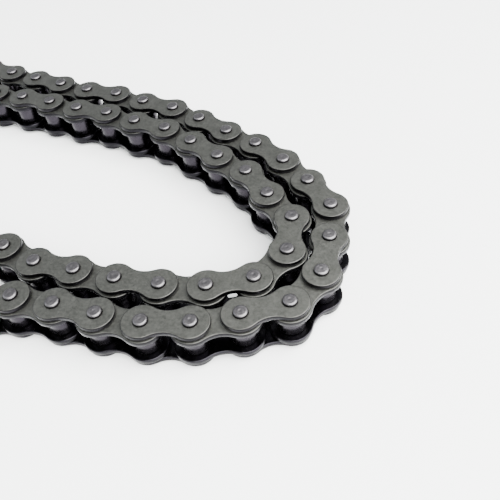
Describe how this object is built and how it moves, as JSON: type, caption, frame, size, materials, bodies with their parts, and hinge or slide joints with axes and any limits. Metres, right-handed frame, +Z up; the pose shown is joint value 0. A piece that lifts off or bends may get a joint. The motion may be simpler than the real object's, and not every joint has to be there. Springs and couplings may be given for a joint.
{
  "type": "roller chain",
  "caption": "Riveted roller chain of half-inch pitch lying on its side in a doubled loop, with pin links and roller links hinged at every pin and an open roller link at each end.",
  "frame": {"origin": "under the middle of the lying chain, on the surface that it lies on", "axes": "+Z up along the pins, +X along the length of the doubled loop, towards its turn"},
  "size_m": [0.2058, 0.1288, 0.0147],
  "materials": {
    "plate": "satin, dark heat-treated and lightly oiled",
    "pin": "satin, riveted ends",
    "bush": "satin, oiled",
    "roller": "polished, oiled"
  },
  "bodies": {
    "link_01": {"link_01_bottom_plate": "plate", "link_01_top_plate": "plate", "link_01_bush_a": "bush", "link_01_bush_b": "bush"},
    "link_02": {"link_02_bottom_plate": "plate", "link_02_top_plate": "plate", "link_02_pin_a": "pin", "link_02_pin_b": "pin"},
    "link_03": {"roller_link_03": "plate"},
    "link_04": {"pin_link_04": "plate"},
    "link_05": {"roller_link_05": "plate"},
    "link_06": {"pin_link_06": "plate"},
    "link_07": {"roller_link_07": "plate"},
    "link_08": {"pin_link_08": "plate"},
    "link_09": {"roller_link_09": "plate"},
    "link_10": {"pin_link_10": "plate"},
    "link_11": {"roller_link_11": "plate"},
    "link_12": {"pin_link_12": "plate"},
    "link_13": {"roller_link_13": "plate"},
    "link_14": {"pin_link_14": "plate"},
    "link_15": {"roller_link_15": "plate"},
    "link_16": {"pin_link_16": "plate"},
    "link_17": {"roller_link_17": "plate"},
    "link_18": {"pin_link_18": "plate"},
    "link_19": {"roller_link_19": "plate"},
    "link_20": {"pin_link_20": "plate"},
    "link_21": {"roller_link_21": "plate"},
    "link_22": {"pin_link_22": "plate"},
    "link_23": {"roller_link_23": "plate"},
    "link_24": {"pin_link_24": "plate"},
    "link_25": {"roller_link_25": "plate"},
    "link_26": {"pin_link_26": "plate"},
    "link_27": {"roller_link_27": "plate"},
    "link_28": {"pin_link_28": "plate"},
    "link_29": {"roller_link_29": "plate"},
    "link_30": {"pin_link_30": "plate"},
    "link_31": {"roller_link_31": "plate"},
    "link_32": {"pin_link_32": "plate"},
    "link_33": {"roller_link_33": "plate"},
    "link_34": {"pin_link_34": "plate"},
    "link_35": {"roller_link_35": "plate"},
    "link_36": {"pin_link_36": "plate"},
    "link_37": {"roller_link_37": "plate"},
    "link_38": {"pin_link_38": "plate"},
    "link_39": {"roller_link_39": "plate"},
    "link_40": {"pin_link_40": "plate"},
    "link_41": {"roller_link_41": "plate"},
    "link_42": {"pin_link_42": "plate"},
    "link_43": {"roller_link_43": "plate"},
    "link_44": {"pin_link_44": "plate"},
    "link_45": {"roller_link_45": "plate"},
    "link_46": {"pin_link_46": "plate"},
    "link_47": {"roller_link_47": "plate"},
    "link_48": {"pin_link_48": "plate"},
    "link_49": {"roller_link_49": "plate"},
    "link_50": {"pin_link_50": "plate"},
    "link_51": {"roller_link_51": "plate"},
    "link_01_roller_a": {"link_01_roller_a": "roller"},
    "link_01_roller_b": {"link_01_roller_b": "roller"}
  },
  "joints": [
    {"name": "hinge_01", "type": "hinge", "parent": "link_02", "child": "link_01", "pos_m": [-0.08479, 0.0551, 0.00732], "axis": [0, 0, 1], "range_deg": [-105, 40]},
    {"name": "hinge_02", "type": "hinge", "parent": "link_03", "child": "link_02", "pos_m": [-0.07247, 0.05203, 0.00732], "axis": [0, 0, 1], "range_deg": [-12, 0]},
    {"name": "hinge_03", "type": "hinge", "parent": "link_04", "child": "link_03", "pos_m": [-0.06005, 0.04939, 0.00732], "axis": [0, 0, 1], "range_deg": [-12, 0]},
    {"name": "hinge_04", "type": "hinge", "parent": "link_05", "child": "link_04", "pos_m": [-0.04754, 0.04718, 0.00732], "axis": [0, 0, 1], "range_deg": [-12, 0]},
    {"name": "hinge_05", "type": "hinge", "parent": "link_06", "child": "link_05", "pos_m": [-0.035, 0.0452, 0.00732], "axis": [0, 0, 1], "range_deg": [-12, 0]},
    {"name": "hinge_06", "type": "hinge", "parent": "link_07", "child": "link_06", "pos_m": [-0.02242, 0.04343, 0.00732], "axis": [0, 0, 1], "range_deg": [-12, 0]},
    {"name": "hinge_07", "type": "hinge", "parent": "link_08", "child": "link_07", "pos_m": [-0.00984, 0.04166, 0.00732], "axis": [0, 0, 1], "range_deg": [-12, 0]},
    {"name": "hinge_08", "type": "hinge", "parent": "link_09", "child": "link_08", "pos_m": [0.00285, 0.04122, 0.00732], "axis": [0, 0, 1], "range_deg": [-12, 0]},
    {"name": "hinge_09", "type": "hinge", "parent": "link_10", "child": "link_09", "pos_m": [0.01527, 0.03858, 0.00732], "axis": [0, 0, 1], "range_deg": [-12, 0]},
    {"name": "hinge_10", "type": "hinge", "parent": "link_11", "child": "link_10", "pos_m": [0.02785, 0.03681, 0.00732], "axis": [0, 0, 1], "range_deg": [-12, 0]},
    {"name": "hinge_11", "type": "hinge", "parent": "link_12", "child": "link_11", "pos_m": [0.03978, 0.03247, 0.00732], "axis": [0, 0, 1], "range_deg": [-12, 0]},
    {"name": "hinge_12", "type": "hinge", "parent": "link_13", "child": "link_12", "pos_m": [0.05156, 0.02771, 0.00732], "axis": [0, 0, 1], "range_deg": [-12, 0]},
    {"name": "hinge_13", "type": "hinge", "parent": "link_14", "child": "link_13", "pos_m": [0.06341, 0.02316, 0.00732], "axis": [0, 0, 1], "range_deg": [-12, 0]},
    {"name": "hinge_14", "type": "hinge", "parent": "link_15", "child": "link_14", "pos_m": [0.07452, 0.017, 0.00732], "axis": [0, 0, 1], "range_deg": [-7, 0]},
    {"name": "hinge_15", "type": "hinge", "parent": "link_16", "child": "link_15", "pos_m": [0.08453, 0.00918, 0.00732], "axis": [0, 0, 1], "range_deg": [-7, 0]},
    {"name": "hinge_16", "type": "hinge", "parent": "link_17", "child": "link_16", "pos_m": [0.09366, 0.00036, 0.00732], "axis": [0, 0, 1], "range_deg": [-7, 0]},
    {"name": "hinge_17", "type": "hinge", "parent": "link_18", "child": "link_17", "pos_m": [0.0963, -0.01206, 0.00732], "axis": [0, 0, 1], "range_deg": [-7, 0]},
    {"name": "hinge_18", "type": "hinge", "parent": "link_19", "child": "link_18", "pos_m": [0.09719, -0.02473, 0.00732], "axis": [0, 0, 1], "range_deg": [-7, 0]},
    {"name": "hinge_19", "type": "hinge", "parent": "link_20", "child": "link_19", "pos_m": [0.09202, -0.03633, 0.00732], "axis": [0, 0, 1], "range_deg": [-7, 0]},
    {"name": "hinge_20", "type": "hinge", "parent": "link_21", "child": "link_20", "pos_m": [0.08114, -0.04288, 0.00732], "axis": [0, 0, 1], "range_deg": [-7, 0]},
    {"name": "hinge_21", "type": "hinge", "parent": "link_22", "child": "link_21", "pos_m": [0.06982, -0.04864, 0.00732], "axis": [0, 0, 1], "range_deg": [-7, 0]},
    {"name": "hinge_22", "type": "hinge", "parent": "link_23", "child": "link_22", "pos_m": [0.0575, -0.05171, 0.00732], "axis": [0, 0, 1], "range_deg": [-7, 0]},
    {"name": "hinge_23", "type": "hinge", "parent": "link_24", "child": "link_23", "pos_m": [0.04482, -0.05238, 0.00732], "axis": [0, 0, 1], "range_deg": [-7, 0]},
    {"name": "hinge_24", "type": "hinge", "parent": "link_25", "child": "link_24", "pos_m": [0.03212, -0.05238, 0.00732], "axis": [0, 0, 1], "range_deg": [-7, 0]},
    {"name": "hinge_25", "type": "hinge", "parent": "link_26", "child": "link_25", "pos_m": [0.01944, -0.05304, 0.00732], "axis": [0, 0, 1], "range_deg": [-7, 0]},
    {"name": "hinge_26", "type": "hinge", "parent": "link_27", "child": "link_26", "pos_m": [0.00758, -0.05759, 0.00732], "axis": [0, 0, 1], "range_deg": [-7, 0]},
    {"name": "hinge_27", "type": "hinge", "parent": "link_28", "child": "link_27", "pos_m": [-0.00509, -0.05848, 0.00732], "axis": [0, 0, 1], "range_deg": [-7, 0]},
    {"name": "hinge_28", "type": "hinge", "parent": "link_29", "child": "link_28", "pos_m": [-0.01325, -0.04875, 0.00732], "axis": [0, 0, 1], "range_deg": [-7, 0]},
    {"name": "hinge_29", "type": "hinge", "parent": "link_30", "child": "link_29", "pos_m": [-0.00615, -0.03822, 0.00732], "axis": [0, 0, 1], "range_deg": [-7, 0]},
    {"name": "hinge_30", "type": "hinge", "parent": "link_31", "child": "link_30", "pos_m": [0.00653, -0.03756, 0.00732], "axis": [0, 0, 1], "range_deg": [-7, 0]},
    {"name": "hinge_31", "type": "hinge", "parent": "link_32", "child": "link_31", "pos_m": [0.01885, -0.04063, 0.00732], "axis": [0, 0, 1], "range_deg": [-7, 0]},
    {"name": "hinge_32", "type": "hinge", "parent": "link_32", "child": "link_33", "pos_m": [0.03155, -0.04041, 0.00732], "axis": [0, 0, 1], "range_deg": [0, 1.5]},
    {"name": "hinge_33", "type": "hinge", "parent": "link_33", "child": "link_34", "pos_m": [0.04425, -0.04041, 0.00732], "axis": [0, 0, 1], "range_deg": [0, 1.5]},
    {"name": "hinge_34", "type": "hinge", "parent": "link_34", "child": "link_35", "pos_m": [0.0569, -0.0393, 0.00732], "axis": [0, 0, 1], "range_deg": [0, 1.5]},
    {"name": "hinge_35", "type": "hinge", "parent": "link_35", "child": "link_36", "pos_m": [0.06932, -0.03666, 0.00732], "axis": [0, 0, 1], "range_deg": [0, 4.5]},
    {"name": "hinge_36", "type": "hinge", "parent": "link_36", "child": "link_37", "pos_m": [0.08064, -0.03089, 0.00732], "axis": [0, 0, 1], "range_deg": [0, 4.5]},
    {"name": "hinge_37", "type": "hinge", "parent": "link_37", "child": "link_38", "pos_m": [0.08641, -0.01958, 0.00732], "axis": [0, 0, 1], "range_deg": [0, 4.5]},
    {"name": "hinge_38", "type": "hinge", "parent": "link_38", "child": "link_39", "pos_m": [0.0842, -0.00707, 0.00732], "axis": [0, 0, 1], "range_deg": [0, 4.5]},
    {"name": "hinge_39", "type": "hinge", "parent": "link_39", "child": "link_40", "pos_m": [0.07433, 0.00092, 0.00732], "axis": [0, 0, 1], "range_deg": [0, 4.5]},
    {"name": "hinge_40", "type": "hinge", "parent": "link_40", "child": "link_41", "pos_m": [0.06475, 0.00925, 0.00732], "axis": [0, 0, 1], "range_deg": [0, 4]},
    {"name": "hinge_41", "type": "hinge", "parent": "link_41", "child": "link_42", "pos_m": [0.05324, 0.01462, 0.00732], "axis": [0, 0, 1], "range_deg": [0, 4]},
    {"name": "hinge_42", "type": "hinge", "parent": "link_42", "child": "link_43", "pos_m": [0.04173, 0.01999, 0.00732], "axis": [0, 0, 1], "range_deg": [0, 4]},
    {"name": "hinge_43", "type": "hinge", "parent": "link_43", "child": "link_44", "pos_m": [0.03004, 0.02495, 0.00732], "axis": [0, 0, 1], "range_deg": [0, 4]},
    {"name": "hinge_44", "type": "hinge", "parent": "link_44", "child": "link_45", "pos_m": [0.01746, 0.02672, 0.00732], "axis": [0, 0, 1], "range_deg": [0, 4]},
    {"name": "hinge_45", "type": "hinge", "parent": "link_45", "child": "link_46", "pos_m": [0.00504, 0.02936, 0.00732], "axis": [0, 0, 1], "range_deg": [0, 4]},
    {"name": "hinge_46", "type": "hinge", "parent": "link_46", "child": "link_47", "pos_m": [-0.00766, 0.0298, 0.00732], "axis": [0, 0, -1], "range_deg": [-30, 0]},
    {"name": "hinge_47", "type": "hinge", "parent": "link_47", "child": "link_48", "pos_m": [-0.02023, 0.03157, 0.00732], "axis": [0, 0, -1], "range_deg": [-30, 0]},
    {"name": "hinge_48", "type": "hinge", "parent": "link_48", "child": "link_49", "pos_m": [-0.0329, 0.03245, 0.00732], "axis": [0, 0, -1], "range_deg": [-30, 0]},
    {"name": "hinge_49", "type": "hinge", "parent": "link_49", "child": "link_50", "pos_m": [-0.04558, 0.03312, 0.00732], "axis": [0, 0, -1], "range_deg": [-30, 0]},
    {"name": "hinge_50", "type": "hinge", "parent": "link_50", "child": "link_51", "pos_m": [-0.05828, 0.03356, 0.00732], "axis": [0, 0, -1], "range_deg": [-105, 0]},
    {"name": "roller_a_spin", "type": "hinge", "parent": "link_01", "child": "link_01_roller_a", "pos_m": [-0.08479, 0.0551, 0.00732], "axis": [0, 0, 1], "continuous": true},
    {"name": "roller_b_spin", "type": "hinge", "parent": "link_01", "child": "link_01_roller_b", "pos_m": [-0.097, 0.0586, 0.00732], "axis": [0, 0, 1], "continuous": true}
  ],
  "couplings": [
    {"joint": "hinge_30", "follows": "hinge_31", "ratio": 1},
    {"joint": "hinge_29", "follows": "hinge_31", "ratio": 1},
    {"joint": "hinge_28", "follows": "hinge_31", "ratio": 1},
    {"joint": "hinge_27", "follows": "hinge_31", "ratio": 1},
    {"joint": "hinge_26", "follows": "hinge_31", "ratio": 1},
    {"joint": "hinge_25", "follows": "hinge_31", "ratio": 1},
    {"joint": "hinge_24", "follows": "hinge_31", "ratio": 1},
    {"joint": "hinge_23", "follows": "hinge_31", "ratio": 1},
    {"joint": "hinge_22", "follows": "hinge_31", "ratio": 1},
    {"joint": "hinge_21", "follows": "hinge_31", "ratio": 1},
    {"joint": "hinge_20", "follows": "hinge_31", "ratio": 1},
    {"joint": "hinge_19", "follows": "hinge_31", "ratio": 1},
    {"joint": "hinge_18", "follows": "hinge_31", "ratio": 1},
    {"joint": "hinge_17", "follows": "hinge_31", "ratio": 1},
    {"joint": "hinge_16", "follows": "hinge_31", "ratio": 1},
    {"joint": "hinge_15", "follows": "hinge_31", "ratio": 1},
    {"joint": "hinge_14", "follows": "hinge_31", "ratio": 1},
    {"joint": "hinge_12", "follows": "hinge_13", "ratio": 1},
    {"joint": "hinge_11", "follows": "hinge_13", "ratio": 1},
    {"joint": "hinge_10", "follows": "hinge_13", "ratio": 1},
    {"joint": "hinge_09", "follows": "hinge_13", "ratio": 1},
    {"joint": "hinge_08", "follows": "hinge_13", "ratio": 1},
    {"joint": "hinge_07", "follows": "hinge_13", "ratio": 1},
    {"joint": "hinge_06", "follows": "hinge_13", "ratio": 1},
    {"joint": "hinge_05", "follows": "hinge_13", "ratio": 1},
    {"joint": "hinge_04", "follows": "hinge_13", "ratio": 1},
    {"joint": "hinge_03", "follows": "hinge_13", "ratio": 1},
    {"joint": "hinge_02", "follows": "hinge_13", "ratio": 1},
    {"joint": "hinge_33", "follows": "hinge_32", "ratio": 1},
    {"joint": "hinge_34", "follows": "hinge_32", "ratio": 1},
    {"joint": "hinge_35", "follows": "hinge_32", "ratio": 3},
    {"joint": "hinge_36", "follows": "hinge_32", "ratio": 3},
    {"joint": "hinge_37", "follows": "hinge_32", "ratio": 3},
    {"joint": "hinge_38", "follows": "hinge_32", "ratio": 3},
    {"joint": "hinge_39", "follows": "hinge_32", "ratio": 3},
    {"joint": "hinge_41", "follows": "hinge_40", "ratio": 1},
    {"joint": "hinge_42", "follows": "hinge_40", "ratio": 1},
    {"joint": "hinge_43", "follows": "hinge_40", "ratio": 1},
    {"joint": "hinge_44", "follows": "hinge_40", "ratio": 1},
    {"joint": "hinge_45", "follows": "hinge_40", "ratio": 1},
    {"joint": "hinge_47", "follows": "hinge_46", "ratio": 1},
    {"joint": "hinge_48", "follows": "hinge_46", "ratio": 1},
    {"joint": "hinge_49", "follows": "hinge_46", "ratio": 1}
  ]
}
